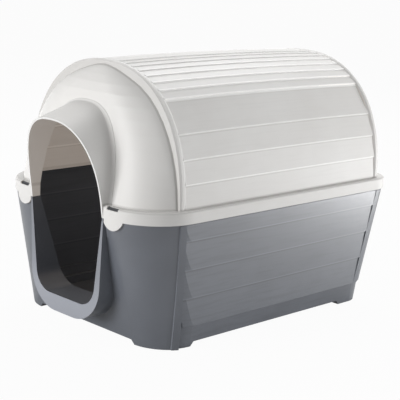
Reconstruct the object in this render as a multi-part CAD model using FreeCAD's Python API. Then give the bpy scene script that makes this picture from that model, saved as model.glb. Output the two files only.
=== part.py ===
import FreeCAD, Part
import math
import os

from FreeCAD import Vector

# Moulded dog house: a dark base tub with an arched doorway, and a pale barrel roof that lifts off.
# Millimetres. +Z up, the doorway faces -Y, X runs across the house.
# While it is built, Y is measured from the front face of the roof's skirt and Z from the ground.
# finish() then moves the pieces so that the origin is the bottom centre of the whole house.

# ---------------------------------------------------------------- driving sizes
# Rim, where the roof's flange and skirt cap the base
RIM_LENGTH = 800.0
RIM_WIDTH = 528.0
RIM_FRONT_RADIUS = 120.0
RIM_REAR_RADIUS = 62.0
SKIRT_BOTTOM = 276.0
SKIRT_HEIGHT = 27.0
SKIRT_THICKNESS = 3.0
SKIRT_ROUND = 5.0
FLANGE_WIDTH = 13.5
FLANGE_THICKNESS = 4.0
RIM_CLEARANCE = 0.5
SEAT_CLEARANCE = 0.3

# Roof shell, a barrel with a domed front and rear
ROOF_HEIGHT = 590.0
ROOF_CAMBER = 5.0
ROOF_WALL = 4.0
ROOF_EXPONENT = 2.3
DOME_FOOT_Y = 17.0
FRONT_LEAN_DEG = 9.4
REAR_LEAN_DEG = 6.0
FRONT_DOME_RADIUS = 98.0
REAR_DOME_RADIUS = 45.0
FRONT_PLAN_RADIUS = 106.0
REAR_PLAN_RADIUS = 50.0
DOME_OVERRUN = 10.0
DOME_SECTIONS = 12
DOME_LAST_DEG = 85.0
BAND_WIDTH = 15.0
BAND_RISE = 3.5
FRONT_BAND_Y = 96.0
REAR_BAND_Y = 735.0
BOARD_STEP = 3.0
BOARD_BACK = 0.8
WIDE_BOARD = 51.0
WIDE_BOARDS = 3
NARROW_BOARD = 24.0
NARROW_BOARDS = 16
CROWN_RADIUS = 270.0

# Doorway and porch hood
DOOR_HALF_WIDTH = 122.0
DOOR_SPRING_Z = 296.0
DOOR_EXPONENT = 2.5
SILL_Z = 74.0
SILL_CORNER = 48.0
DOOR_DRAFT = 0.125
SLEEVE_TOP_Y = 17.0
SLEEVE_SLOPE = 0.25
HOOD_HALF_WIDTH = 118.5
HOOD_RISE = 185.0
HOOD_SLOPE = 0.33
HOOD_FLARE = 0.035
HOOD_WALL = 4.0
HOOD_LIP_REACH = 46.0
HOOD_LIP_BOW = 5.5
HOOD_FILLET = 9.0
FLARE_SINK = 0.6
COLLAR_LAP = 2.5
COLLAR_Z = 37.0
COLLAR_CORNER = 85.0
COLLAR_DRAFT = 0.045

# Base tub
BASE_WALL = 4.0
PLINTH_TOP = 50.0
PLINTH_RECESS = 4.0
PLINTH_DRAFT = 5.0
FOOT_HEIGHT = 10.0
FOOT_LENGTH = 88.0
FOOT_SLOPE = 8.0
SIDE_TAPER = 7.5
FRONT_TAPER = 48.0
REAR_TAPER = 53.0
BASE_FRONT_RADIUS = 97.0
BASE_REAR_RADIUS = 60.0
LEDGE_RISE = 18.0
LEDGE_WIDTH = 12.0
BASE_BOARD = 63.0
BASE_BAND_RISE = 3.0
BASE_BAND_Y = 91.6
FRONT_BAND_LEAN = 7.5
REAR_BAND_LEAN = 56.0

# Latches: a finger tab on the skirt, a slot in the flange and a tongue on the base
LATCH_X = 150.0
TAB_RADIUS = 30.0
TAB_DROP = 21.0
SLOT_LENGTH = 32.0
SLOT_REACH = 8.4
SLOT_DEPTH = 6.0
TONGUE_LENGTH = 28.0
TONGUE_THICKNESS = 2.2
TONGUE_NOSE = 0.8
TONGUE_NOSE_HEIGHT = 4.0
TONGUE_GAP = 0.6
TONGUE_BELOW_TOP = 1.0

# ---------------------------------------------------------------- sizes that follow
FLANGE_TOP = SKIRT_BOTTOM + SKIRT_HEIGHT
FLANGE_UNDER = FLANGE_TOP - FLANGE_THICKNESS
RIM_INSET = SKIRT_THICKNESS + RIM_CLEARANCE
RIM_TOP = FLANGE_UNDER - SEAT_CLEARANCE
RIM_FOOT = SKIRT_BOTTOM - 2.0
ROOF_HALF_WIDTH = RIM_WIDTH / 2 - FLANGE_WIDTH
ROOF_MID_Y = (FRONT_BAND_Y + REAR_BAND_Y + BAND_WIDTH) / 2
ROOF_HALF_LENGTH = (REAR_BAND_Y + BAND_WIDTH - FRONT_BAND_Y) / 2
FLOOR_TOP = FOOT_HEIGHT + BASE_WALL
DOME_LEAN = math.tan(math.radians(FRONT_LEAN_DEG))
DOME_FACE_Y = DOME_FOOT_Y + DOME_LEAN * (DOOR_SPRING_Z - FLANGE_TOP)
MARGIN = 40.0
WIDE = 2 * RIM_WIDTH
PARTS = {}


# ---------------------------------------------------------------- outlines
def super_edge(half_width, rise, exponent, spring_z, y, lean=0.0):
    """Half of a superellipse from +X over to -X; a negative rise hangs it below its springing."""
    count = 16
    points = []
    for i in range(count + 1):
        turn = math.pi * i / count
        across = abs(math.cos(turn)) ** (2 / exponent)
        up = abs(math.sin(turn)) ** (2 / exponent)
        side = 1 if i <= count / 2 else -1
        points.append(Vector(side * half_width * across, y + lean * rise * up, spring_z + rise * up))
    direction = 1 if rise > 0 else -1
    curve = Part.BSplineCurve()
    curve.interpolate(Points=points, InitialTangent=Vector(0, lean * direction, direction),
                      FinalTangent=Vector(0, -lean * direction, -direction))
    return curve.toShape()


def arch_wire(half_width, rise, exponent, spring_z, end_z, y, lean=0.0):
    """A superellipse closed by two straight legs and a straight line at end_z."""
    arch = super_edge(half_width, rise, exponent, spring_z, y, lean)
    right = Vector(half_width, y, spring_z)
    left = Vector(-half_width, y, spring_z)
    end_y = y + lean * (end_z - spring_z)
    right_end = Vector(half_width, end_y, end_z)
    left_end = Vector(-half_width, end_y, end_z)
    legs = [Part.makeLine(left, left_end), Part.makeLine(left_end, right_end),
            Part.makeLine(right_end, right)]
    return Part.Wire([arch] + legs)


def plan_wire(x, y0, y1, z, f, r):
    """A level outline of half width x, from y0 to y1, with front radius f and rear radius r."""
    h = math.sqrt(0.5)
    edges = [Part.makeLine(Vector(-x + f, y0, z), Vector(x - f, y0, z))]
    edges.append(Part.Arc(Vector(x - f, y0, z), Vector(x - f + f * h, y0 + f - f * h, z),
                          Vector(x, y0 + f, z)).toShape())
    edges.append(Part.makeLine(Vector(x, y0 + f, z), Vector(x, y1 - r, z)))
    edges.append(Part.Arc(Vector(x, y1 - r, z), Vector(x - r + r * h, y1 - r + r * h, z),
                          Vector(x - r, y1, z)).toShape())
    edges.append(Part.makeLine(Vector(x - r, y1, z), Vector(-x + r, y1, z)))
    edges.append(Part.Arc(Vector(-x + r, y1, z), Vector(-x + r - r * h, y1 - r + r * h, z),
                          Vector(-x, y1 - r, z)).toShape())
    edges.append(Part.makeLine(Vector(-x, y1 - r, z), Vector(-x, y0 + f, z)))
    edges.append(Part.Arc(Vector(-x, y0 + f, z), Vector(-x + f - f * h, y0 + f - f * h, z),
                          Vector(-x + f, y0, z)).toShape())
    return Part.Wire(edges)


def rounded_rect(inset, z, front_radius, rear_radius, front=0.0, rear=0.0, side=0.0):
    """Rim outline at height z, drawn in by inset all round and by front, rear and side besides."""
    return plan_wire(RIM_WIDTH / 2 - inset - side, inset + front, RIM_LENGTH - inset - rear, z,
                     front_radius, rear_radius)


def prism(wire, along):
    """A closed wire's face pushed along a vector."""
    return Part.Face(wire).extrude(along)


def block(x0, x1, y0, y1, z0, z1):
    """A box between two corners."""
    return Part.makeBox(x1 - x0, y1 - y0, z1 - z0, Vector(x0, y0, z0))


def polygon_yz(corners, x0, x1):
    """A polygon in the YZ plane pushed from x0 to x1."""
    points = [Vector(x0, y, z) for y, z in corners]
    wire = Part.makePolygon(points + [points[0]])
    return prism(wire, Vector(x1 - x0, 0, 0))


def rim_prism(inset, z0, z1):
    """The rim outline drawn in by inset, as a solid between two heights."""
    wire = rounded_rect(inset, z0, RIM_FRONT_RADIUS - inset, RIM_REAR_RADIUS - inset)
    return prism(wire, Vector(0, 0, z1 - z0))


def rim_ring(outer_inset, inner_inset, z0, z1):
    """A wall that follows the rim between two insets."""
    return rim_prism(outer_inset, z0, z1).cut(rim_prism(inner_inset, z0 - 1, z1 + 1))


# ---------------------------------------------------------------- roof
def roof_rise(y):
    """Height of the crown above the flange, least at the two bands."""
    along = (y - ROOF_MID_Y) / ROOF_HALF_LENGTH
    return ROOF_HEIGHT - FLANGE_TOP - BOARD_STEP - ROOF_CAMBER * along ** 2


def roof_section(y, grow, end_z):
    """The barrel's section at y, grown outward by grow."""
    return arch_wire(ROOF_HALF_WIDTH - BOARD_STEP + grow, roof_rise(y) + grow, ROOF_EXPONENT,
                     FLANGE_TOP, end_z, y)


def end_setback(z, lean, radius, top):
    """How far an end of the roof lies behind its foot at height z: a leaning face, then an arc."""
    slope = math.tan(math.radians(lean))
    start = top - radius * (1 - math.sin(math.radians(lean)))
    if z <= start:
        return slope * (z - FLANGE_TOP)
    centre = slope * (start - FLANGE_TOP) + radius * math.cos(math.radians(lean))
    return centre - math.sqrt(radius ** 2 - (z - top + radius) ** 2)


def dome_body(inset, end_z):
    """The barrel with both rounded ends, as level sections from its foot to its crown."""
    top = FLANGE_TOP + roof_rise(FRONT_BAND_Y)
    arc_top = top + DOME_OVERRUN
    half = ROOF_HALF_WIDTH - BOARD_STEP
    wires = []
    for i in range(DOME_SECTIONS + 1):
        angle = math.radians(DOME_LAST_DEG) * i / DOME_SECTIONS
        z = FLANGE_TOP + (top - FLANGE_TOP) * math.sin(angle) ** (2 / ROOF_EXPONENT)
        x = half * math.cos(angle) ** (2 / ROOF_EXPONENT) - inset
        y0 = DOME_FOOT_Y + end_setback(z, FRONT_LEAN_DEG, FRONT_DOME_RADIUS, arc_top) + inset
        y1 = RIM_LENGTH - FLANGE_WIDTH - end_setback(z, REAR_LEAN_DEG, REAR_DOME_RADIUS, top) - inset
        f = min(FRONT_PLAN_RADIUS - inset, 0.97 * x)
        r = min(REAR_PLAN_RADIUS - inset, 0.97 * x)
        if i == 0:
            wires.append(plan_wire(x, y0, y1, end_z, f, r))
        wires.append(plan_wire(x, y0, y1, z - inset * math.sin(angle), f, r))
    return Part.makeLoft(wires, True, True)


def barrel(y0, y1, grow, end_z):
    """The plain barrel between two stations, with its camber."""
    stations = [y0, (y0 + y1) / 2, y1]
    return Part.makeLoft([roof_section(y, grow, end_z) for y in stations], True, False)


def band(y0):
    """A raised rounded band over the roof."""
    lift = [0.3, 1.0, 1.0, 0.3]
    places = [0.0, 0.3, 0.7, 1.0]
    wires = [roof_section(y0 + p * BAND_WIDTH, BOARD_BACK + k * BAND_RISE, FLANGE_UNDER)
             for p, k in zip(places, lift)]
    return Part.makeLoft(wires, True, True)


def board_angles():
    """Where the laps lie on the arch, as its angles from the flange up to the crown."""
    half = ROOF_HALF_WIDTH
    rise = roof_rise(ROOF_MID_Y)
    angles = [0.0]
    for i in range(1, WIDE_BOARDS + 1):
        angles.append(math.asin((i * WIDE_BOARD / rise) ** (ROOF_EXPONENT / 2)))
    per_side = NARROW_BOARDS // 2
    for i in range(per_side, 0, -1):
        x = CROWN_RADIUS * math.sin(i * NARROW_BOARD / CROWN_RADIUS)
        angles.append(math.acos((x / half) ** (ROOF_EXPONENT / 2)))
    return angles + [math.pi / 2]


def board_point(angle, lift, y):
    """A point on the arch at y, lift above the plain barrel, on the +X side."""
    x = (ROOF_HALF_WIDTH - BOARD_STEP + lift) * math.cos(angle) ** (2 / ROOF_EXPONENT)
    z = (roof_rise(y) + lift) * math.sin(angle) ** (2 / ROOF_EXPONENT)
    return Vector(x, y, FLANGE_TOP + z)


def boards_wire(y):
    """Section through the lapped boards: each stands proud at its lower edge."""
    angles = board_angles()
    right = [Vector(ROOF_HALF_WIDTH, y, FLANGE_UNDER)]
    for low, high in zip(angles[:-1], angles[1:]):
        right.append(board_point(low, BOARD_STEP, y))
        right.append(board_point(high, BOARD_BACK, y))
    left = [Vector(-p.x, p.y, p.z) for p in reversed(right[:-1])]
    points = right + left
    return Part.makePolygon(points + [points[0]])


def roof_boards():
    """All the roof's boards as one lofted block between the two bands."""
    y0 = FRONT_BAND_Y + BAND_WIDTH
    stations = [y0, (y0 + REAR_BAND_Y) / 2, REAR_BAND_Y]
    return Part.makeLoft([boards_wire(y) for y in stations], True, False)


def hood_wire(y, grow):
    """The hood's arch at y: it rises and widens a little towards the house."""
    half = HOOD_HALF_WIDTH + HOOD_FLARE * y + grow
    rise = HOOD_RISE + HOOD_SLOPE * y + grow
    return arch_wire(half, rise, DOOR_EXPONENT, DOOR_SPRING_Z, SKIRT_BOTTOM, y)


def hood_block(y0, y1, grow, drop=0.0):
    """The hood as a solid arch between two stations."""
    solid = Part.makeLoft([hood_wire(y0, grow), hood_wire(y1, grow)], True, True)
    if drop > 0:
        half = HOOD_HALF_WIDTH + grow
        solid = solid.fuse(block(-half, half, y0, y1, SKIRT_BOTTOM - drop, DOOR_SPRING_Z))
    return solid


def hood_outer():
    """The hood's outside, its front cut to a curve that leans out over the doorway."""
    rise = DOOR_SPRING_Z + HOOD_RISE - HOOD_SLOPE * HOOD_LIP_REACH + HOOD_WALL - SKIRT_BOTTOM
    chord = math.hypot(rise, HOOD_LIP_REACH)
    radius = chord ** 2 / (8 * HOOD_LIP_BOW)
    back = radius - HOOD_LIP_BOW
    centre_y = -HOOD_LIP_REACH / 2 - back * rise / chord
    centre_z = SKIRT_BOTTOM + rise / 2 - back * HOOD_LIP_REACH / chord
    solid = hood_block(-HOOD_LIP_REACH - MARGIN, FRONT_BAND_Y - BAND_WIDTH, HOOD_WALL)
    cutter = Part.makeCylinder(radius, WIDE, Vector(-WIDE / 2, centre_y, centre_z), Vector(1, 0, 0))
    return solid.cut(cutter)


def skirt():
    """The flange and the skirt that hangs from it, with a rounded outer shoulder."""
    cap = rim_prism(0, SKIRT_BOTTOM, FLANGE_TOP)
    top_edges = [e for e in cap.Edges if e.BoundBox.ZMin > FLANGE_TOP - 0.1]
    cap = cap.makeFillet(SKIRT_ROUND, top_edges)
    return cap.cut(rim_prism(SKIRT_THICKNESS, SKIRT_BOTTOM - 1, FLANGE_UNDER))


def latch_places():
    """Name, X centre, and the Y range of the rim that each latch takes."""
    places = []
    for end, y0, y1 in (("front", -MARGIN, RIM_LENGTH / 2), ("rear", RIM_LENGTH / 2, RIM_LENGTH + MARGIN)):
        for side, x in (("left", -LATCH_X), ("right", LATCH_X)):
            places.append((f"{end}_{side}", x, y0, y1))
    return places


def finger_tab(x, y0, y1):
    """A round tab that hangs from the skirt, follows its curve and stops short of the collar."""
    centre_z = SKIRT_BOTTOM - TAB_DROP + TAB_RADIUS
    wall = rim_ring(0, SKIRT_THICKNESS, SKIRT_BOTTOM - TAB_DROP - 1, SKIRT_BOTTOM + SKIRT_ROUND)
    disc = Part.makeCylinder(TAB_RADIUS, y1 - y0, Vector(x, y0, centre_z), Vector(0, 1, 0))
    reach = DOOR_HALF_WIDTH + COLLAR_LAP + 2 * RIM_CLEARANCE
    return wall.common(disc).cut(block(-reach, reach, y0, y1, 0, SKIRT_BOTTOM))


def flange_slot(x, y0, y1):
    """The notch through the flange's shoulder above a tab."""
    wall = rim_ring(-1, SLOT_REACH, FLANGE_TOP - SLOT_DEPTH, FLANGE_TOP + 1)
    return wall.common(block(x - SLOT_LENGTH / 2, x + SLOT_LENGTH / 2, y0, y1,
                             FLANGE_TOP - SLOT_DEPTH - 1, FLANGE_TOP + 2))


def roof_shell():
    """The whole roof moulding."""
    hood = hood_outer()
    y0 = FRONT_BAND_Y
    y1 = REAR_BAND_Y + BAND_WIDTH
    ends = dome_body(0, FLANGE_UNDER).cut(block(-WIDE, WIDE, y0, y1, 0, ROOF_HEIGHT + MARGIN))
    shell = ends.multiFuse([hood, hood_flare(), band(FRONT_BAND_Y), roof_boards(), band(REAR_BAND_Y),
                            skirt()])
    legs = hood.common(block(-WIDE, WIDE, -WIDE, DOME_FOOT_Y + ROOF_WALL, 0, FLANGE_TOP))
    under = rim_prism(SKIRT_THICKNESS, SKIRT_BOTTOM - 1, FLANGE_UNDER).cut(legs)
    shell = shell.cut(under)
    shell = shell.cut(roof_inside())
    shell = shell.cut(hood_block(-HOOD_LIP_REACH - 2 * MARGIN, FRONT_BAND_Y, 0, drop=2))
    for _, x, y0, y1 in latch_places():
        shell = shell.fuse(finger_tab(x, y0, y1)).cut(flange_slot(x, y0, y1))
    return shell.removeSplitter()


def hood_flare():
    """The concave sweep of the hood into the dome, as arches that widen along a quarter circle."""
    wires = []
    for ahead in (1.0, 0.8, 0.55, 0.3, 0.1, -0.3):
        reach = max(ahead, 0.1) * HOOD_FILLET
        sweep = HOOD_FILLET - math.sqrt(HOOD_FILLET ** 2 - (HOOD_FILLET - reach) ** 2)
        grow = HOOD_WALL - FLARE_SINK + sweep
        y = DOME_FACE_Y - ahead * HOOD_FILLET
        half = HOOD_HALF_WIDTH + HOOD_FLARE * y + grow
        rise = HOOD_RISE + HOOD_SLOPE * (y + DOME_LEAN * HOOD_RISE) + grow
        wires.append(arch_wire(half, rise, DOOR_EXPONENT, DOOR_SPRING_Z, SKIRT_BOTTOM + 10, y, DOME_LEAN))
    return Part.makeLoft(wires, True, True)


def roof_inside():
    """The hollow under the roof."""
    end_z = FLANGE_UNDER - 1
    y0 = FRONT_BAND_Y
    y1 = REAR_BAND_Y + BAND_WIDTH
    ends = dome_body(ROOF_WALL, end_z)
    return ends.fuse(barrel(y0 + ROOF_WALL, y1 - ROOF_WALL, -ROOF_WALL, end_z))


# ---------------------------------------------------------------- base
def wall_section(z, grow):
    """The tub's outline at height z, grown outward by grow."""
    down = (RIM_FOOT - z) / (RIM_FOOT - PLINTH_TOP)
    front_radius = RIM_FRONT_RADIUS - RIM_INSET
    front_radius += (BASE_FRONT_RADIUS - front_radius) * down
    rear_radius = RIM_REAR_RADIUS - RIM_INSET
    rear_radius += (BASE_REAR_RADIUS - rear_radius) * down
    return rounded_rect(RIM_INSET - grow, z, front_radius + grow, rear_radius + grow,
                        FRONT_TAPER * down, REAR_TAPER * down, SIDE_TAPER * down)


def tub_wall(grow, z0):
    """The tapered wall as a solid, from z0 to the rim, grown outward by grow."""
    return Part.makeLoft([wall_section(z0, grow), wall_section(RIM_FOOT, grow)], True, True)


def plinth_section(z, inset):
    """The plinth's outline: it steps in under the boards and drafts in towards the ground."""
    down = (PLINTH_TOP - z) / (PLINTH_TOP - FOOT_HEIGHT)
    extra = PLINTH_RECESS + PLINTH_DRAFT * down + inset
    return rounded_rect(RIM_INSET + extra, z, BASE_FRONT_RADIUS - extra, BASE_REAR_RADIUS - extra,
                        FRONT_TAPER, REAR_TAPER, SIDE_TAPER)


def plinth(z0, z1, inset):
    """The plinth between two heights, drawn in by inset."""
    return Part.makeLoft([plinth_section(z0, inset), plinth_section(z1, inset)], True, True)


def foot_gaps():
    """What is cut away between the four corner feet, with sloped ends."""
    box = wall_section(0, 0).BoundBox
    run = FOOT_LENGTH + FOOT_SLOPE
    long_gap = [(box.YMin + FOOT_LENGTH, 0), (box.YMax - FOOT_LENGTH, 0),
                (box.YMax - run, FOOT_HEIGHT), (box.YMin + run, FOOT_HEIGHT)]
    cross = [Vector(box.XMin + FOOT_LENGTH, -MARGIN, 0), Vector(box.XMax - FOOT_LENGTH, -MARGIN, 0),
             Vector(box.XMax - run, -MARGIN, FOOT_HEIGHT), Vector(box.XMin + run, -MARGIN, FOOT_HEIGHT)]
    across = prism(Part.makePolygon(cross + [cross[0]]), Vector(0, RIM_LENGTH + 2 * MARGIN, 0))
    return polygon_yz(long_gap, -WIDE / 2, WIDE / 2).fuse(across)


def plinth_recess():
    """What is cut away so that the plinth stands back under the boards and the rear wall."""
    y0 = BASE_BAND_Y + BAND_WIDTH + FRONT_BAND_LEAN
    around = block(-WIDE / 2, WIDE / 2, y0, RIM_LENGTH + MARGIN, -1, PLINTH_TOP)
    return around.cut(plinth(-2, PLINTH_TOP + 1, 0))


def sill_block(half_width, draft, bottom, corner, y0, y1):
    """The doorway's outline below its springing, as a solid: drafted legs, round corners, flat sill."""
    top = DOOR_SPRING_Z + 1
    tilt = math.hypot(1, draft)
    centre_z = bottom + corner
    centre_x = half_width - draft * (DOOR_SPRING_Z - centre_z) - corner * tilt
    meet_x = centre_x + corner / tilt
    meet_z = centre_z - corner * draft / tilt
    h = corner * math.sqrt(0.5)
    right = [Vector(half_width + draft, y0, top), Vector(meet_x, y0, meet_z),
             Vector(centre_x + h, y0, centre_z - h), Vector(centre_x, y0, bottom)]
    left = [Vector(-p.x, y0, p.z) for p in right]
    edges = [Part.makeLine(left[0], right[0]), Part.makeLine(right[0], right[1]),
             Part.Arc(right[1], right[2], right[3]).toShape(), Part.makeLine(right[3], left[3]),
             Part.Arc(left[3], left[2], left[1]).toShape(), Part.makeLine(left[1], left[0])]
    return prism(Part.Wire(edges), Vector(0, y1 - y0, 0))


def door_block(grow, y0, y1):
    """The doorway below its springing, grown outward by grow."""
    return sill_block(DOOR_HALF_WIDTH + grow, DOOR_DRAFT, SILL_Z - grow, SILL_CORNER + grow, y0, y1)


def collar_block(grow, y0, y1):
    """The collar's outside, grown outward by grow."""
    return sill_block(DOOR_HALF_WIDTH + COLLAR_LAP + grow, COLLAR_DRAFT, COLLAR_Z - grow,
                      COLLAR_CORNER + grow, y0, y1)


def door_sleeve(depth):
    """The sill and jambs that run in through the wall to a leaning inner edge."""
    top = DOOR_SPRING_Z
    low_y = SLEEVE_TOP_Y + SLEEVE_SLOPE * top
    keep = polygon_yz([(0, 0), (low_y, 0), (SLEEVE_TOP_Y, top), (0, top)], -WIDE / 2, WIDE / 2)
    return door_block(BASE_WALL, 0, depth).cut(door_block(0, -1, depth + 1)).common(keep)


def side_boards(sign):
    """Lapped boards on one long side, before they are trimmed to length."""
    x_low = RIM_WIDTH / 2 - RIM_INSET - SIDE_TAPER
    slope = SIDE_TAPER / (RIM_FOOT - PLINTH_TOP)
    embed = BASE_WALL / 2
    points = []
    z = PLINTH_TOP
    while z < RIM_FOOT:
        top = min(z + BASE_BOARD, RIM_FOOT)
        lift = BOARD_STEP + (BOARD_BACK - BOARD_STEP) * (top - z) / BASE_BOARD
        points.append(Vector(sign * (x_low + slope * (z - PLINTH_TOP) + BOARD_STEP), 0, z))
        points.append(Vector(sign * (x_low + slope * (top - PLINTH_TOP) + lift), 0, top))
        z = top
    points.append(Vector(sign * (x_low - embed), 0, RIM_FOOT))
    points.append(Vector(sign * (x_low - embed), 0, PLINTH_TOP))
    wire = Part.makePolygon(points + [points[0]])
    return prism(wire, Vector(0, RIM_LENGTH, 0))


def side_slab(y_front, y_rear, front_lean, rear_lean, z0=PLINTH_TOP):
    """All of the house's width between two lines that lean as the boards' ends do."""
    share = (RIM_FOOT - z0) / (RIM_FOOT - PLINTH_TOP)
    corners = [(y_front + front_lean * share, z0), (y_rear - rear_lean * share, z0),
               (y_rear, RIM_FOOT), (y_front, RIM_FOOT)]
    return polygon_yz(corners, -WIDE / 2, WIDE / 2)


def base_trim():
    """The boards and the bands at their ends, on both long sides."""
    y0 = BASE_BAND_Y
    y1 = REAR_BAND_Y
    w = BAND_WIDTH
    middle = side_slab(y0 + w, y1, FRONT_BAND_LEAN, REAR_BAND_LEAN)
    limit = tub_wall(BOARD_STEP, PLINTH_TOP)
    boards = [side_boards(sign).common(middle).common(limit) for sign in (-1, 1)]
    core = block(-WIDE / 2, -RIM_WIDTH / 4, 0, RIM_LENGTH, 0, FLANGE_TOP)
    sides = core.fuse(block(RIM_WIDTH / 4, WIDE / 2, 0, RIM_LENGTH, 0, FLANGE_TOP))
    grown = tub_wall(BASE_BAND_RISE, 0).common(sides)
    front = grown.common(side_slab(y0, y0 + w, FRONT_BAND_LEAN, -FRONT_BAND_LEAN, 0))
    rear = grown.common(side_slab(y1, y1 + w, -REAR_BAND_LEAN, REAR_BAND_LEAN))
    return boards + [front, rear]


def tub_inside():
    """The hollow of the tub, with a ledge round the floor."""
    ledge_z = FLOOR_TOP + LEDGE_RISE
    top = rim_prism(RIM_INSET + BASE_WALL, RIM_FOOT, RIM_TOP + 1)
    shelf_z = PLINTH_TOP + BASE_WALL
    wall = Part.makeLoft([wall_section(shelf_z, -BASE_WALL), wall_section(RIM_FOOT, -BASE_WALL)],
                         True, True)
    step = plinth(ledge_z, shelf_z, BASE_WALL)
    floor = plinth(FLOOR_TOP, ledge_z, BASE_WALL + LEDGE_WIDTH)
    return top.multiFuse([wall, step, floor])


def base_tub():
    """The whole base moulding."""
    depth = FRONT_TAPER + FLANGE_WIDTH + MARGIN
    body = tub_wall(0, 0).multiFuse([rim_prism(RIM_INSET, RIM_FOOT, RIM_TOP),
                                     collar_block(0, 0, depth)] + base_trim())
    body = body.cut(foot_gaps()).cut(plinth_recess()).cut(tub_inside())
    pocket = collar_block(-BASE_WALL, BASE_WALL, depth).cut(door_block(BASE_WALL, 0, depth + 1))
    body = body.cut(pocket).fuse(door_sleeve(depth))
    body = body.cut(door_block(0, -1, depth + 1))
    reach = DOOR_HALF_WIDTH + HOOD_WALL + 2 * RIM_CLEARANCE
    body = body.cut(block(-reach, reach, -1, depth, SKIRT_BOTTOM - SEAT_CLEARANCE, FLANGE_TOP))
    for _, x, y0, y1 in latch_places():
        body = body.cut(tongue_notch(x, y0, y1))
    return body.removeSplitter()


def tongue_notch(x, y0, y1):
    """The notch in the rim where a tongue stands."""
    half = SLOT_LENGTH / 2
    return block(x - half, x + half, y0, y1, tongue_foot(), FLANGE_TOP)


def tongue_foot():
    """Height at which a tongue bends."""
    return FLANGE_TOP - TONGUE_BELOW_TOP - TONGUE_LENGTH


def tongue(x, y0, y1):
    """A spring tongue of the base: a thin plate with a nose that reaches up into the slot."""
    half = SLOT_LENGTH / 2 - TONGUE_GAP
    inset = RIM_INSET + TONGUE_GAP
    foot = tongue_foot() + SEAT_CLEARANCE
    top = FLANGE_TOP - TONGUE_BELOW_TOP
    plate = rim_ring(inset, inset + TONGUE_THICKNESS, foot, top)
    nose = rim_ring(inset - TONGUE_NOSE, inset, top - TONGUE_NOSE_HEIGHT, top)
    return plate.fuse(nose).common(block(x - half, x + half, y0, y1, foot, top)).removeSplitter()


# ---------------------------------------------------------------- pieces
def finish():
    """Move every piece to the origin and write it."""
    os.makedirs("parts", exist_ok=True)
    centre = (RIM_LENGTH - HOOD_LIP_REACH) / 2
    for name, shape in PARTS.items():
        shape = shape.copy()
        shape.translate(Vector(0, -centre, 0))
        shape.exportStep(f"parts/{name}.step")
        box = shape.BoundBox
        print(name, "valid", shape.isValid(), "solids", len(shape.Solids),
              "x %.1f %.1f y %.1f %.1f z %.1f %.1f" % (box.XMin, box.XMax, box.YMin, box.YMax,
                                                       box.ZMin, box.ZMax))
    print("origin is at y =", centre)


def main():
    """Build every piece and write it."""
    PARTS["base_tub"] = base_tub()
    PARTS["roof_shell"] = roof_shell()
    for place, x, y0, y1 in latch_places():
        PARTS[f"{place}_tongue"] = tongue(x, y0, y1)
    finish()


main()
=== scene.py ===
"""Looks of the moulded dog house: its plastics, the studio, the lamps and the camera."""

import logging
import math
from dataclasses import dataclass
from enum import Enum

import bpy
from mathutils import Matrix, Vector


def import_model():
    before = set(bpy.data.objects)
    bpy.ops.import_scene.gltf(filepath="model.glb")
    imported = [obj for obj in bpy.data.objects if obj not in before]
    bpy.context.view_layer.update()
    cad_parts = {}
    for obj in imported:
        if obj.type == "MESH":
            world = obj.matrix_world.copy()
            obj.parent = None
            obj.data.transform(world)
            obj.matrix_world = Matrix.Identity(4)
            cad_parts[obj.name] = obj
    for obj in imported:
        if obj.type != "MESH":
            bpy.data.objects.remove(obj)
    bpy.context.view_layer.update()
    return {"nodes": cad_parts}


LOG = logging.getLogger("dog_house")
IMAGE_PX = 400.0
SENSOR_MM = 36.0
VIEW_END = 100.0
MM = 0.001
WHITE = (1.0, 1.0, 1.0, 1.0)
BLACK = (0.0, 0.0, 0.0)

Colour = tuple[float, float, float]
Place = tuple[float, float, float]


class Op(Enum):
    """The Math node's operations that the finishes use."""

    ADD = "ADD"
    SUBTRACT = "SUBTRACT"
    MULTIPLY = "MULTIPLY"
    DIVIDE = "DIVIDE"
    ABSOLUTE = "ABSOLUTE"
    ARCSINE = "ARCSINE"
    FRACTION = "FRACT"
    MINIMUM = "MINIMUM"
    MAXIMUM = "MAXIMUM"
    LESS = "LESS_THAN"
    GREATER = "GREATER_THAN"


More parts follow.
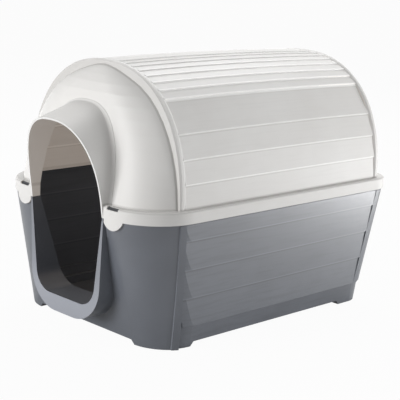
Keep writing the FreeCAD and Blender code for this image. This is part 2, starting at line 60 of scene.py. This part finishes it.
class Value:
    """A socket that carries a number, with Python's operators for its maths."""

    def __init__(self, graph: "Graph", socket: bpy.types.NodeSocket) -> None:
        """Keeps the socket and the graph that it belongs to."""
        self.graph = graph
        self.socket = socket

    def __add__(self, other: "Value | float") -> "Value":
        """Sum of the two."""
        return self.graph.maths(Op.ADD, self, other)

    def __radd__(self, other: float) -> "Value":
        """Sum, with the number on the left."""
        return self.graph.maths(Op.ADD, other, self)

    def __sub__(self, other: "Value | float") -> "Value":
        """Difference of the two."""
        return self.graph.maths(Op.SUBTRACT, self, other)

    def __rsub__(self, other: float) -> "Value":
        """Difference, with the number on the left."""
        return self.graph.maths(Op.SUBTRACT, other, self)

    def __mul__(self, other: "Value | float") -> "Value":
        """Product of the two."""
        return self.graph.maths(Op.MULTIPLY, self, other)

    def __rmul__(self, other: float) -> "Value":
        """Product, with the number on the left."""
        return self.graph.maths(Op.MULTIPLY, other, self)

    def __truediv__(self, other: "Value | float") -> "Value":
        """Quotient of the two."""
        return self.graph.maths(Op.DIVIDE, self, other)

    def __gt__(self, other: "Value | float") -> "Value":
        """1 where this is the greater, else 0."""
        return self.graph.maths(Op.GREATER, self, other)

    def __lt__(self, other: "Value | float") -> "Value":
        """1 where this is the lesser, else 0."""
        return self.graph.maths(Op.LESS, self, other)

    def __abs__(self) -> "Value":
        """Size without sign."""
        return self.graph.maths(Op.ABSOLUTE, self)

    def fraction(self) -> "Value":
        """What is left above the whole number."""
        return self.graph.maths(Op.FRACTION, self)

    def arcsine(self) -> "Value":
        """Angle whose sine this is."""
        return self.graph.maths(Op.ARCSINE, self)

    def greater_of(self, other: "Value") -> "Value":
        """The greater of the two."""
        return self.graph.maths(Op.MAXIMUM, self, other)

    def between(self, low: float, high: float) -> "Value":
        """Steps smoothly from 0 to 1.

        Args:
            low: Where the step starts.
            high: Where the step ends.

        Returns:
            0 at or below low, 1 at or above high.
        """
        made = self.graph.node("ShaderNodeMapRange", {"interpolation_type": "SMOOTHSTEP"},
                               {"Value": self, "From Min": low, "From Max": high})
        return Value(self.graph, made.outputs["Result"])


Parts = tuple[Value, Value, Value]


@dataclass(frozen=True)
class Stripe:
    """A soft stripe over a distance in metres: 1 within its core, 0 from its edge outward."""

    centre: float
    core: float
    edge: float

    def over(self, distance: Value, start: float = 0.0) -> Value:
        """The stripe over a distance, with its centre counted from start."""
        return 1.0 - abs(distance - (start + self.centre)).between(self.core, self.edge)


@dataclass(frozen=True)
class Speckle:
    """A noise in cells per metre, and the part of its range that shows."""

    scale: float
    detail: float
    low: float = 0.0
    high: float = 1.0

    def shown(self, noise: Value) -> Value:
        """The part of a noise that shows, stretched over 0 to 1."""
        return noise.between(self.low, self.high)


# Noises of the moulded surface
CLOUD = Speckle(scale=5.0, detail=3.0, low=0.35, high=0.70)
STREAK = Speckle(scale=190.0, detail=4.0, low=0.45, high=0.68)
FLECK = Speckle(scale=420.0, detail=3.0, low=0.55, high=0.75)
GRAIN_DETAIL = 2.0
STREAK_STRETCH = (1.0, 0.05, 1.0)
FLECK_SHARE = 0.10

# Relief and gloss of the moulded surface
GRAIN_HEIGHT = 0.25
STREAK_HEIGHT = 0.60
RELIEF_STRENGTH = 0.28
RELIEF_DEPTH = 0.8 * MM
FLECK_ROUGHNESS = 0.14
STREAK_ROUGHNESS = 0.06
COAT_ROUGHNESS = 0.32

# Painted shade and painted highlight stripes at the laps, measured from the lap: up the wide
# boards, down the narrow ones
WIDE_PAINTED_SHADE = Stripe(centre=-2.4 * MM, core=0.5 * MM, edge=2.6 * MM)
WIDE_PAINTED_HIGHLIGHT = Stripe(centre=0.4 * MM, core=0.8 * MM, edge=2.4 * MM)
ROW_PAINTED_SHADE = Stripe(centre=1.2 * MM, core=0.6 * MM, edge=4.0 * MM)
ROW_PAINTED_HIGHLIGHT = Stripe(centre=-0.4 * MM, core=1.4 * MM, edge=3.2 * MM)

# Painted shade, shadow and highlight stripes of the roof's corners, measured from the flange, the
# band and the boards' front ends
FOOT_PAINTED_SHADE = Stripe(centre=0.0, core=1.0 * MM, edge=6.0 * MM)
BAND_PAINTED_SHADOW = Stripe(centre=-2.0 * MM, core=0.8 * MM, edge=4.2 * MM)
ENDS_PAINTED_HIGHLIGHT = Stripe(centre=1.6 * MM, core=0.6 * MM, edge=2.2 * MM)


class Graph:
    """A material's or the world's node tree."""

    def __init__(self, tree: bpy.types.NodeTree) -> None:
        """Keeps the tree and empties it."""
        self.tree = tree
        tree.nodes.clear()

    def node(self, kind: str, settings: dict | None = None,
             inputs: dict | None = None) -> bpy.types.Node:
        """Adds a node, sets its settings and then its sockets.

        Args:
            kind: The node's type, such as "ShaderNodeBump".
            settings: Attributes, set first.
            inputs: Values or links by socket name or index.

        Returns:
            The node.
        """
        made = self.tree.nodes.new(kind)
        for name, value in (settings or {}).items():
            setattr(made, name, value)
        for name, value in (inputs or {}).items():
            self.feed(made.inputs[name], value)
        return made

    def feed(self, socket: bpy.types.NodeSocket, value: object) -> None:
        """Links a socket, or sets its value.

        Args:
            socket: The input socket.
            value: A Value, an output socket or a plain value.
        """
        if isinstance(value, Value):
            self.tree.links.new(value.socket, socket)
        elif isinstance(value, bpy.types.NodeSocket):
            self.tree.links.new(value, socket)
        else:
            socket.default_value = value

    def finish(self, kind: str, shader: bpy.types.NodeSocket) -> None:
        """Adds the output node."""
        self.node(kind, {}, {"Surface": shader})

    def maths(self, op: Op, *terms: Value | float) -> Value:
        """Adds one Math node for one or two terms."""
        made = self.node("ShaderNodeMath", {"operation": op.value}, dict(enumerate(terms)))
        return Value(self, made.outputs[0])

    def mix(self, factor: Value | float, first: object, second: object) -> bpy.types.NodeSocket:
        """Mixes two colours.

        Args:
            factor: 0 gives the first, 1 the second.
            first: A colour or a colour socket.
            second: A colour or a colour socket.

        Returns:
            The mixed colour's socket.
        """
        made = self.node("ShaderNodeMix", {"data_type": "RGBA"})
        self.feed(made.inputs["Factor"], factor)
        for name, colour in (("A", first), ("B", second)):
            socket = [s for s in made.inputs if s.name == name and s.type == "RGBA"][0]
            self.feed(socket, (*colour, 1.0) if isinstance(colour, tuple) else colour)
        return [s for s in made.outputs if s.type == "RGBA"][0]

    def split(self, vector: bpy.types.NodeSocket) -> Parts:
        """Takes a vector apart.

        Args:
            vector: The vector's socket.

        Returns:
            Its X, Y and Z.
        """
        made = self.node("ShaderNodeSeparateXYZ", {}, {"Vector": vector})
        x, y, z = (Value(self, out) for out in made.outputs)
        return x, y, z

    def noise(self, place: bpy.types.NodeSocket, speckle: Speckle) -> Value:
        """Adds a noise.

        Args:
            place: The vector socket that places it.
            speckle: Its scale and detail.

        Returns:
            The noise, between 0 and 1.
        """
        made = self.node("ShaderNodeTexNoise", {}, {
            "Vector": place, "Scale": speckle.scale, "Detail": speckle.detail})
        return Value(self, made.outputs["Fac"])


def near_whole(value: Value) -> Value:
    """How far a value lies past the nearest whole number, from -0.5 to 0.5."""
    return (value + 0.5).fraction() - 0.5


@dataclass(frozen=True)
class Boards:
    """Where a moulding's wide lapped boards lie, in metres in the frame of the house."""

    front: float
    rear: float
    base: float
    pitch: float
    count: int
    camber: float = 0.0
    rise: float = 1.0
    top: float = 0.0
    front_lean: float = 0.0
    rear_lean: float = 0.0

    def between_ends(self, y: Value, z: Value) -> Value:
        """1 between the boards' ends, which may lean inward below their top, else 0."""
        down = self.top - z
        return (y > down * self.front_lean + self.front) * (y < self.rear - down * self.rear_lean)

    def height(self, y: Value, z: Value) -> Value:
        """Height above the boards' foot in metres, with the camber taken out."""
        along = (y - (self.front + self.rear) / 2) / ((self.rear - self.front) / 2)
        return (z - self.base) / (1.0 - along * along * (self.camber / self.rise))


@dataclass(frozen=True)
class Rows:
    """The narrow boards over the crown, in metres."""

    radius: float
    pitch: float
    reach: float
    above: float

    def across(self, x: Value) -> Value:
        """Metres round the crown from the nearest lap, positive on its lower side."""
        turn = (abs(x) / self.radius).arcsine() * (self.radius / self.pitch)
        return near_whole(turn) * self.pitch


@dataclass(frozen=True)
class Lines:
    """How strongly the painted shade and highlights at the laps and the wood grain show, each
    between 0 and 1.
    """

    wide_highlight: float = 0.0
    wide_shade: float = 0.0
    row_highlight: float = 0.0
    row_shade: float = 0.0
    streaks: float = 0.0


@dataclass(frozen=True)
class Plastic:
    """A moulded plastic with a fine grain, and wood grain along its boards where it has any, with
    painted shade and highlights at their laps.
    """

    name: str
    colour: Colour
    pale: Colour
    # The next two: the wood grain's and the painted shade's colour, then the colour of the painted
    # highlights at the laps
    grain_and_shade: Colour
    painted_highlight: Colour
    roughness: float
    grain_mm: float
    clouds: float
    gloss: float
    coat: float = 0.0
    lines: Lines = Lines()
    boards: Boards | None = None
    rows: Rows | None = None

    def build(self) -> bpy.types.Material:
        """Makes the material.

        Returns:
            The material.
        """
        material = bpy.data.materials.new(self.name)
        material.use_nodes = True
        graph = Graph(material.node_tree)
        coords = graph.node("ShaderNodeTexCoord")
        place = coords.outputs["Object"]
        spot = graph.split(place)
        facing = graph.split(coords.outputs["Normal"])
        on_boards, dark, light = self.laps(spot)
        stretched = graph.node("ShaderNodeMapping", {}, {"Vector": place, "Scale": STREAK_STRETCH})
        streak = graph.noise(stretched.outputs[0], STREAK)
        cloud = graph.noise(place, CLOUD)
        grain = graph.noise(place, Speckle(1.0 / (self.grain_mm * MM), GRAIN_DETAIL))
        fleck = graph.noise(place, FLECK)

        tone = graph.mix(CLOUD.shown(cloud) * self.clouds, self.colour, self.pale)
        tone = graph.mix(STREAK.shown(streak) * on_boards * self.lines.streaks, tone, self.grain_and_shade)
        tone = graph.mix(FLECK.shown(fleck) * FLECK_SHARE, tone, self.pale)
        # Painted highlight and painted shade at the laps
        tone = graph.mix(light, tone, self.painted_highlight)
        tone = graph.mix(dark, tone, self.grain_and_shade)
        tone = self.edges(graph, tone, spot, facing)

        relief = grain * GRAIN_HEIGHT + streak * on_boards * STREAK_HEIGHT
        bump = graph.node("ShaderNodeBump", {}, {
            "Strength": RELIEF_STRENGTH, "Distance": RELIEF_DEPTH, "Height": relief})
        roughness = self.roughness + fleck * FLECK_ROUGHNESS - streak * STREAK_ROUGHNESS
        shader = graph.node("ShaderNodeBsdfPrincipled", {}, {
            "Base Color": tone, "Roughness": roughness, "Specular IOR Level": self.gloss,
            "Coat Weight": self.coat, "Coat Roughness": COAT_ROUGHNESS, "Normal": bump.outputs[0]})
        self.glow(graph, shader, spot, facing)
        graph.finish("ShaderNodeOutputMaterial", shader.outputs[0])
        return material

    def laps(self, spot: Parts) -> tuple[Value | float, Value | float, Value | float]:
        """Finds the boards and their laps.

        Args:
            spot: The place on the house.

        Returns:
            1 on the boards, then how much painted shade and how much painted highlight each lap
            takes; all 0 on a piece without boards.
        """
        if not self.boards:
            return 0.0, 0.0, 0.0
        x, y, z = spot
        on_boards = self.boards.between_ends(y, z)
        up = self.boards.height(y, z) / self.boards.pitch
        inside = (up > 0.5) * (up < self.boards.count + 0.5) * on_boards
        near = near_whole(up) * self.boards.pitch
        # Painted shade just below each wide lap and a painted highlight along it
        dark = WIDE_PAINTED_SHADE.over(near) * inside * self.lines.wide_shade
        light = WIDE_PAINTED_HIGHLIGHT.over(near) * inside * self.lines.wide_highlight
        if self.rows:
            across = self.rows.across(x)
            high = (abs(x) < self.rows.reach) * (z > self.rows.above) * on_boards
            # Painted shade and painted highlight at the narrow rows' laps
            dark = dark + ROW_PAINTED_SHADE.over(across) * high * self.lines.row_shade
            light = light + ROW_PAINTED_HIGHLIGHT.over(across) * high * self.lines.row_highlight
        return on_boards, dark, light

    def edges(self, graph: Graph, tone: bpy.types.NodeSocket, spot: Parts,
              facing: Parts) -> bpy.types.NodeSocket:
        """Paints light and shade on the moulding's own edges; the plain plastic has none."""
        return tone

    def glow(self, graph: Graph, shader: bpy.types.Node, spot: Parts, facing: Parts) -> None:
        """Paints a glow standing in for light through the wall; the plain plastic gets none."""


@dataclass(frozen=True)
class RoofPlastic(Plastic):
    """The pale plastic, with painted shade in its corners, painted highlights on its edges and a
    painted glow for the daylight through its thin wall.
    """

    flange_top: float = 0.303
    band_front: float = -0.281
    rim_front: float = -0.377
    rim_ahead: float = 0.001
    ends_above: float = 0.004
    upright: float = 0.75
    forward: float = -0.70
    inward: float = -0.02
    # How much painted shade the corners take, then how much painted highlight the boards' ends and
    # the rim take
    corner_shade_share: float = 0.55
    ends_highlight_share: float = 0.50
    rim_highlight_share: float = 0.90
    # Colour of the painted glow on the inward faces
    through: Colour = (0.150, 0.128, 0.110)

    def edges(self, graph: Graph, tone: bpy.types.NodeSocket, spot: Parts,
              facing: Parts) -> bpy.types.NodeSocket:
        """Paints soft shade over the flange and a shadow before the band, and highlights on the
        boards' front ends and the hood's rim.

        Args:
            graph: The material's graph.
            tone: The colour so far.
            spot: The place on the house.
            facing: The face's normal.

        Returns:
            The colour.
        """
        _, y, z = spot
        # Painted shade at the flange's foot and a painted shadow just before the band
        foot = FOOT_PAINTED_SHADE.over(z, self.flange_top) * (abs(facing[2]) < self.upright)
        before = BAND_PAINTED_SHADOW.over(y, self.band_front) * (z > self.flange_top)
        ends = ENDS_PAINTED_HIGHLIGHT.over(y, self.boards.front) * (z > self.flange_top + self.ends_above)
        rim = (y < self.rim_front - self.rim_ahead) * (facing[1] < self.forward)
        tone = graph.mix(foot.greater_of(before) * self.corner_shade_share, tone, self.grain_and_shade)
        # Painted highlights on the boards' front ends and on the hood's rim
        lit = (ends * self.ends_highlight_share).greater_of(rim * self.rim_highlight_share)
        return graph.mix(lit, tone, self.pale)

    def glow(self, graph: Graph, shader: bpy.types.Node, spot: Parts, facing: Parts) -> None:
        """Paints a faint glow, standing in for daylight through the wall, on the faces that look
        inward.

        Args:
            graph: The material's graph.
            shader: The Principled node.
            spot: The place on the house.
            facing: The face's normal.
        """
        up = spot[2] - self.flange_top
        outward = spot[0] * facing[0] + spot[1] * facing[1] + up * facing[2]
        # A painted glow on the inward faces, standing in for daylight through the thin wall
        light = graph.mix(outward < self.inward, BLACK, self.through)
        graph.feed(shader.inputs["Emission Color"], light)
        graph.feed(shader.inputs["Emission Strength"], 1.0)


@dataclass(frozen=True)
class TubPlastic(Plastic):
    """The slate plastic, with painted light on the front face of the doorway's collar, most at its
    foot.
    """

    collar_half_width: float = 0.128
    collar_front: float = -0.365
    collar_foot: float = 0.020
    collar_top: float = 0.270
    fade_from: float = 0.060
    fade_to: float = 0.180
    ahead_from: float = 0.10
    ahead_to: float = 0.75
    top_share: float = 0.40
    foot_extra: float = 0.55
    # Colour of the painted light on the collar's face
    collar_painted_light: Colour = (0.290, 0.305, 0.345)

    def edges(self, graph: Graph, tone: bpy.types.NodeSocket, spot: Parts,
              facing: Parts) -> bpy.types.NodeSocket:
        """Paints light on the collar's front face.

        Args:
            graph: The material's graph.
            tone: The colour so far.
            spot: The place on the house.
            facing: The face's normal.

        Returns:
            The colour.
        """
        x, y, z = spot
        # Painted light on the collar's faces that look forward, strongest at its foot
        face = (y < self.collar_front) * (abs(x) < self.collar_half_width)
        face = face * (z < self.collar_top) * (z > self.collar_foot)
        ahead = (0.0 - facing[1]).between(self.ahead_from, self.ahead_to)
        low = 1.0 - z.between(self.fade_from, self.fade_to)
        share = low * self.foot_extra + self.top_share
        return graph.mix(face * ahead * share, tone, self.collar_painted_light)


@dataclass
class Mouldings:
    """The carried-over nodes and their plastics."""

    tub_nodes: tuple[str, ...] = ("base_tub",)
    latch_nodes: tuple[str, ...] = ("front_left_tongue", "front_right_tongue",
                                    "rear_left_tongue", "rear_right_tongue")
    roof_nodes: tuple[str, ...] = ("roof_shell",)
    tub: Plastic = TubPlastic(
        name="slate_grain_plastic",
        colour=(0.104, 0.113, 0.133), pale=(0.185, 0.200, 0.232),
        # Colours of the wood grain and the painted lap shade, then of the painted lap highlight
        grain_and_shade=(0.052, 0.056, 0.066), painted_highlight=(0.190, 0.205, 0.238),
        roughness=0.33, grain_mm=1.1, clouds=0.30, gloss=0.90, coat=0.80,
        lines=Lines(wide_highlight=0.55, wide_shade=0.50, streaks=0.20),
        boards=Boards(front=-0.2704, rear=0.3580, base=0.050, pitch=0.063, count=3, top=0.276,
                      front_lean=0.033, rear_lean=0.248))
    latch: Plastic = Plastic(
        name="slate_latch_plastic",
        colour=(0.030, 0.032, 0.036), pale=(0.045, 0.048, 0.054),
        grain_and_shade=(0.020, 0.021, 0.024), painted_highlight=(0.045, 0.048, 0.054),
        roughness=0.50, grain_mm=0.9, clouds=0.40, gloss=0.40)
    roof: Plastic = RoofPlastic(
        name="off_white_grain_plastic",
        colour=(0.625, 0.615, 0.600), pale=(0.730, 0.730, 0.720),
        # Colours of the wood grain and the painted lap shade, then of the painted lap highlight
        grain_and_shade=(0.360, 0.350, 0.335), painted_highlight=(0.880, 0.875, 0.865),
        roughness=0.48, grain_mm=1.2, clouds=0.35, gloss=0.45,
        lines=Lines(wide_highlight=0.85, wide_shade=0.30, row_highlight=0.90, row_shade=0.12, streaks=0.05),
        boards=Boards(front=-0.2660, rear=0.3580, base=0.303, pitch=0.0513, count=3,
                      camber=0.005, rise=0.284),
        rows=Rows(radius=0.270, pitch=0.024, reach=0.180, above=0.490))

    def dress(self, nodes: dict[str, bpy.types.Object]) -> None:
        """Gives every node its plastic.

        Args:
            nodes: The frame's objects by node name.
        """
        for names, plastic in ((self.tub_nodes, self.tub), (self.latch_nodes, self.latch),
                               (self.roof_nodes, self.roof)):
            material = plastic.build()
            for name in names:
                for slot in nodes[name].material_slots:
                    slot.material = material
                LOG.info("%s wears %s", name, plastic.name)


@dataclass
class Studio:
    """A floor and an even surround that look white and light the house softly."""

    half_size: float = 14.0
    floor_colour: Colour = (0.45, 0.45, 0.45)
    surround: float = 0.40
    floor_glow: float = 0.96
    mirrored: float = 0.08
    lift: float = -0.0003

    def build(self) -> None:
        """Makes the floor and the world."""
        h = self.half_size
        corners = [(x, y, self.lift) for x, y in ((-h, -h), (h, -h), (h, h), (-h, h))]
        mesh = bpy.data.meshes.new("studio_floor")
        mesh.from_pydata(corners, [], [(0, 1, 2, 3)])
        floor = bpy.data.objects.new("studio_floor", mesh)
        bpy.context.scene.collection.objects.link(floor)
        mesh.materials.append(self.floor_material())
        self.world()
        LOG.info("studio floor and surround made")

    def seen_white(self, graph: Graph) -> Value:
        """Says how far a ray sees plain white: the camera's wholly, a mirrored one hardly.

        Args:
            graph: The graph to add the node to.

        Returns:
            1 for camera and transmission rays, the mirrored share for glossy rays, else 0.
        """
        path = graph.node("ShaderNodeLightPath")
        camera, glossy, through = (Value(graph, path.outputs[name]) for name in
                                   ("Is Camera Ray", "Is Glossy Ray", "Is Transmission Ray"))
        return graph.maths(Op.MINIMUM, camera + glossy * self.mirrored + through, 1.0)

    def floor_material(self) -> bpy.types.Material:
        """Makes a matte floor that looks white and keeps a faint shadow.

        Returns:
            The material.
        """
        material = bpy.data.materials.new("studio_floor")
        material.use_nodes = True
        graph = Graph(material.node_tree)
        matte = graph.node("ShaderNodeBsdfDiffuse", {}, {"Color": (*self.floor_colour, 1.0)})
        glow = graph.node("ShaderNodeEmission", {}, {"Color": WHITE, "Strength": 1.0})
        mixed = graph.node("ShaderNodeMixShader", {}, {
            "Fac": self.seen_white(graph) * self.floor_glow,
            1: matte.outputs[0], 2: glow.outputs[0]})
        graph.finish("ShaderNodeOutputMaterial", mixed.outputs[0])
        return material

    def world(self) -> None:
        """Lights the house evenly and shows white to the camera."""
        world = bpy.data.worlds.new("studio")
        world.use_nodes = True
        bpy.context.scene.world = world
        graph = Graph(world.node_tree)
        soft, white = (graph.node("ShaderNodeBackground", {}, {"Color": WHITE, "Strength": power})
                       for power in (self.surround, 1.0))
        mixed = graph.node("ShaderNodeMixShader", {}, {
            "Fac": self.seen_white(graph), 1: soft.outputs[0], 2: white.outputs[0]})
        graph.finish("ShaderNodeOutputWorld", mixed.outputs[0])


@dataclass(frozen=True)
class Lamp:
    """A soft oblong lamp that looks at a point; lengths in metres, power in watts."""

    name: str
    place: Place
    target: Place
    width: float
    height: float
    power: float

    def build(self) -> None:
        """Adds the lamp."""
        data = bpy.data.lights.new(self.name, "AREA")
        data.shape = "RECTANGLE"
        data.size = self.width
        data.size_y = self.height
        data.energy = self.power
        lamp = bpy.data.objects.new(self.name, data)
        lamp.location = self.place
        aim = Vector(self.target) - Vector(self.place)
        lamp.rotation_euler = aim.to_track_quat("-Z", "Y").to_euler()
        bpy.context.scene.collection.objects.link(lamp)
        LOG.info("lamp %s made", self.name)


@dataclass
class Lighting:
    """The soft lamps."""

    lamps: tuple[Lamp, ...] = (
        Lamp("top", place=(-1.3, 1.9, 3.0), target=(0.0, 0.1, 0.5),
             width=2.0, height=2.0, power=88.0),
        Lamp("left_front", place=(-0.9, -3.4, 0.9), target=(0.0, -0.25, 0.30),
             width=1.8, height=1.3, power=98.0),
        Lamp("left_low", place=(-2.0, 0.1, 0.30), target=(-0.2, -0.2, 0.20),
             width=1.0, height=0.4, power=4.0),
        Lamp("rear_right", place=(1.25, 2.1, 0.12), target=(0.26, 0.30, 0.20),
             width=0.9, height=0.20, power=27.0),
        Lamp("right_fill", place=(2.6, 1.3, 1.1), target=(0.20, 0.30, 0.38),
             width=1.0, height=1.0, power=27.0),
    )

    def build(self) -> None:
        """Adds every lamp."""
        for lamp in self.lamps:
            lamp.build()


@dataclass
class PhotoCamera:
    """The camera, solved from the photograph's edges; lengths in metres, angles in degrees."""

    azimuth: float = 45.17
    elevation: float = 12.64
    roll: float = 2.65
    distance: float = 2.7867
    lens_px: float = 1180.3
    target: Place = (0.0, 0.0230, 0.2759)
    slide_right: float = 0.00047
    slide_up: float = -0.03381

    def build(self) -> None:
        """Adds the camera and makes it the scene's."""
        az, el, turn = (math.radians(a) for a in (self.azimuth, self.elevation, self.roll))
        back = Vector((math.sin(az) * math.cos(el), -math.cos(az) * math.cos(el), math.sin(el)))
        right = Vector((math.cos(az), math.sin(az), 0.0))
        up = back.cross(right)
        place = Vector(self.target) + back * self.distance + right * self.slide_right
        place += up * self.slide_up
        right_turned = math.cos(turn) * right + math.sin(turn) * up
        up_turned = math.cos(turn) * up - math.sin(turn) * right
        data = bpy.data.cameras.new("photo_camera")
        data.sensor_width = SENSOR_MM
        data.lens = self.lens_px / IMAGE_PX * SENSOR_MM
        data.clip_end = VIEW_END
        camera = bpy.data.objects.new("photo_camera", data)
        turned = Matrix((right_turned, up_turned, back)).transposed()
        camera.matrix_world = Matrix.Translation(place) @ turned.to_4x4()
        bpy.context.scene.collection.objects.link(camera)
        bpy.context.scene.camera = camera
        LOG.info("camera made")


def main() -> None:
    """Builds the looks in order."""
    logging.basicConfig(level=logging.INFO, format="%(name)s: %(message)s")
    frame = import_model()
    scene = bpy.context.scene
    scene.view_settings.view_transform = "Standard"
    Mouldings().dress(frame["nodes"])
    Studio().build()
    Lighting().build()
    PhotoCamera().build()


if __name__ == "__main__":
    main()
